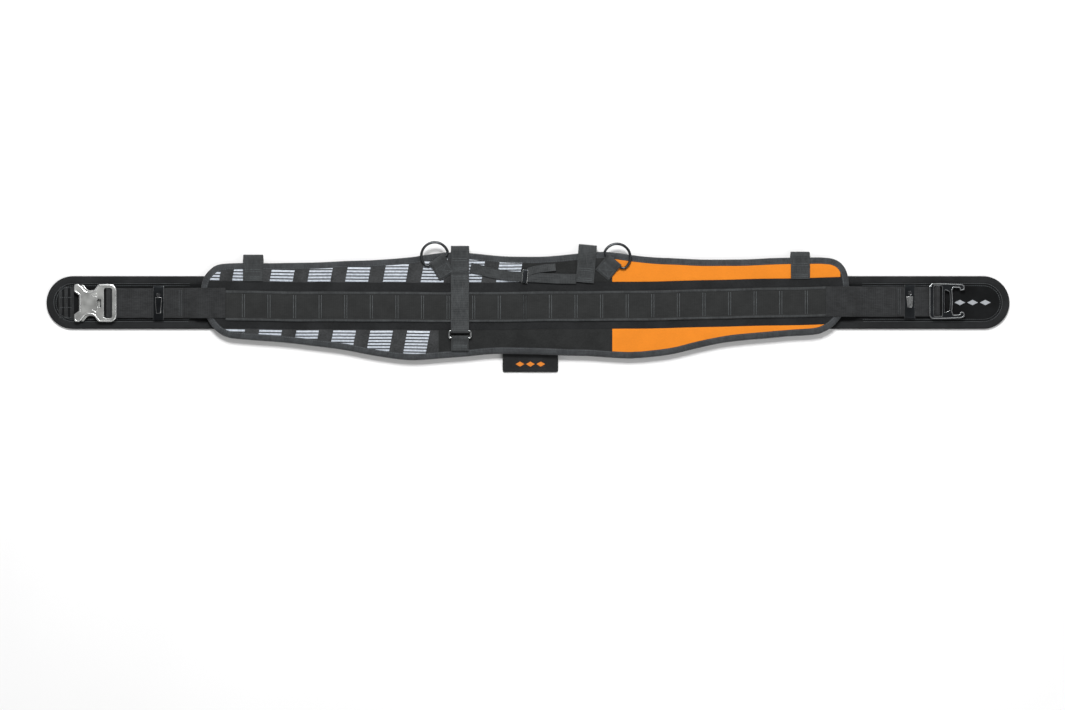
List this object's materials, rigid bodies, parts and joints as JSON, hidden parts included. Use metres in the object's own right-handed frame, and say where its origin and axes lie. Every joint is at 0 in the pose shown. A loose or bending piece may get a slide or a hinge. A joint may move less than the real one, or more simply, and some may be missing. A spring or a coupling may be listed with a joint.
{
  "type": "padded work belt",
  "caption": "Padded work belt with equipment webbing, suspender loops, swinging rings and a quick-release metal buckle, laid open flat.",
  "frame": {"origin": "middle of the inner belt's length and width, on its back face (the wearer's side)", "axes": "+X along the belt towards the prong half of the buckle, +Y towards the pad's top edge, +Z away from the wearer"},
  "size_m": [1.4392, 0.1954, 0.0258],
  "materials": {
    "liner": "black padded mesh cloth, matt",
    "pad": "black foam core under woven cloth, matt",
    "binding": "dark grey woven edge tape, matt",
    "panel": "black woven nylon cloth, matt",
    "reflective": "dark cloth with slanted groups of silver reflective stripes",
    "orange": "bright orange woven cloth, matt",
    "webbing": "dark grey ribbed nylon webbing, slight sheen",
    "steel": "bead-blasted silver metal, satin",
    "dark_steel": "black coated metal, worn bright on edges",
    "tag": "thin black woven tag with a plain orange mark"
  },
  "bodies": {
    "back_panel": {"liner_centre": "liner", "pad_centre": "pad", "binding_centre_top": "binding", "binding_centre_bottom": "binding", "panel_centre": "panel", "reflective_upper_centre": "reflective", "reflective_lower_centre": "reflective", "orange_upper_centre": "orange", "orange_lower_centre": "orange", "equipment_webbing_centre": "webbing", "suspender_loop_2": "webbing", "suspender_loop_3": "webbing", "d_ring_tab_left": "webbing", "d_ring_tab_right": "webbing", "strap_back_layer": "webbing", "strap_ring": "steel", "strap_anchor_loop": "webbing", "cross_strap": "webbing", "hanging_tag": "tag"},
    "left_wing": {"liner_left": "liner", "pad_left": "pad", "binding_left": "binding", "reflective_upper_left": "reflective", "reflective_lower_left": "reflective", "band_left": "panel", "equipment_webbing_left": "webbing", "suspender_loop_1": "webbing", "webbing_inner_left": "webbing"},
    "right_wing": {"liner_right": "liner", "pad_right": "pad", "binding_right": "binding", "orange_upper_right": "orange", "orange_lower_right": "orange", "band_right": "panel", "equipment_webbing_right": "webbing", "suspender_loop_4": "webbing", "webbing_inner_right": "webbing"},
    "left_tail": {"liner_left_end": "liner", "webbing_outer_left": "webbing", "webbing_fold_left": "webbing"},
    "right_tail": {"liner_right_end": "liner", "webbing_outer_right": "webbing", "webbing_fold_right": "webbing"},
    "left_keeper": {"keeper_left": "steel"},
    "right_keeper": {"keeper_right": "steel"},
    "female_buckle": {"buckle_base_plate": "steel", "buckle_top_plate": "steel", "lever_spring": "steel", "adjuster_bar_left": "dark_steel", "webbing_roll_left": "webbing"},
    "upper_lever": {"release_lever_upper": "steel"},
    "lower_lever": {"release_lever_lower": "steel"},
    "male_buckle": {"buckle_prong_frame": "dark_steel", "adjuster_bar_right": "dark_steel", "webbing_roll_right": "webbing"},
    "left_d_ring": {"d_ring_left": "dark_steel"},
    "right_d_ring": {"d_ring_right": "steel"},
    "front_flap": {"strap_flap": "webbing"},
    "cross_slider": {"strap_slider": "steel", "strap_tail": "webbing"}
  },
  "joints": [
    {"name": "left_wing_wrap", "type": "hinge", "parent": "back_panel", "child": "left_wing", "pos_m": [-0.165, 0, 0], "axis": [0, -1, 0], "range_deg": [0, 75]},
    {"name": "right_wing_wrap", "type": "hinge", "parent": "back_panel", "child": "right_wing", "pos_m": [0.16, 0, 0], "axis": [0, 1, 0], "range_deg": [0, 75]},
    {"name": "left_tail_wrap", "type": "hinge", "parent": "left_wing", "child": "left_tail", "pos_m": [-0.492, 0, 0], "axis": [0, -1, 0], "range_deg": [0, 75]},
    {"name": "right_tail_wrap", "type": "hinge", "parent": "right_wing", "child": "right_tail", "pos_m": [0.486, 0, 0], "axis": [0, 1, 0], "range_deg": [0, 75]},
    {"name": "female_buckle_tip", "type": "hinge", "parent": "left_tail", "child": "female_buckle", "pos_m": [-0.611, -0.0009, 0.0112], "axis": [0, 1, 0], "range_deg": [0, 80]},
    {"name": "male_buckle_tip", "type": "hinge", "parent": "right_tail", "child": "male_buckle", "pos_m": [0.597, 0.002, 0.0112], "axis": [0, -1, 0], "range_deg": [0, 80]},
    {"name": "upper_lever_press", "type": "hinge", "parent": "female_buckle", "child": "upper_lever", "pos_m": [-0.645, 0.0136, 0.0112], "axis": [0, 0, 1], "range_deg": [0, 9], "stiffness_Nm_per_rad": 0.3, "springref_deg": -9.74},
    {"name": "lower_lever_press", "type": "hinge", "parent": "female_buckle", "child": "lower_lever", "pos_m": [-0.645, -0.0154, 0.0112], "axis": [0, 0, -1], "range_deg": [0, 9], "stiffness_Nm_per_rad": 0.3, "springref_deg": -9.74},
    {"name": "left_d_ring_swing", "type": "hinge", "parent": "back_panel", "child": "left_d_ring", "pos_m": [-0.13465, 0.06255, 0.0216], "axis": [0.8536, 0.521, 0], "range_deg": [0, 150]},
    {"name": "right_d_ring_swing", "type": "hinge", "parent": "back_panel", "child": "right_d_ring", "pos_m": [0.12725, 0.06095, 0.0216], "axis": [0.766, -0.6428, 0], "range_deg": [0, 150]},
    {"name": "front_flap_lift", "type": "hinge", "parent": "back_panel", "child": "front_flap", "pos_m": [-0.1013, -0.0425, 0.0224], "axis": [1, 0, 0], "range_deg": [0, 110]},
    {"name": "cross_slider_slide", "type": "slide", "parent": "back_panel", "child": "cross_slider", "axis": [0.9956, -0.0936, 0], "range_m": [-0.01, 0.01]},
    {"name": "left_keeper_slide", "type": "slide", "parent": "left_tail", "child": "left_keeper", "axis": [1, 0, 0], "range_m": [-0.015, 0.015]},
    {"name": "right_keeper_slide", "type": "slide", "parent": "right_tail", "child": "right_keeper", "axis": [1, 0, 0], "range_m": [-0.01, 0.01]}
  ]
}
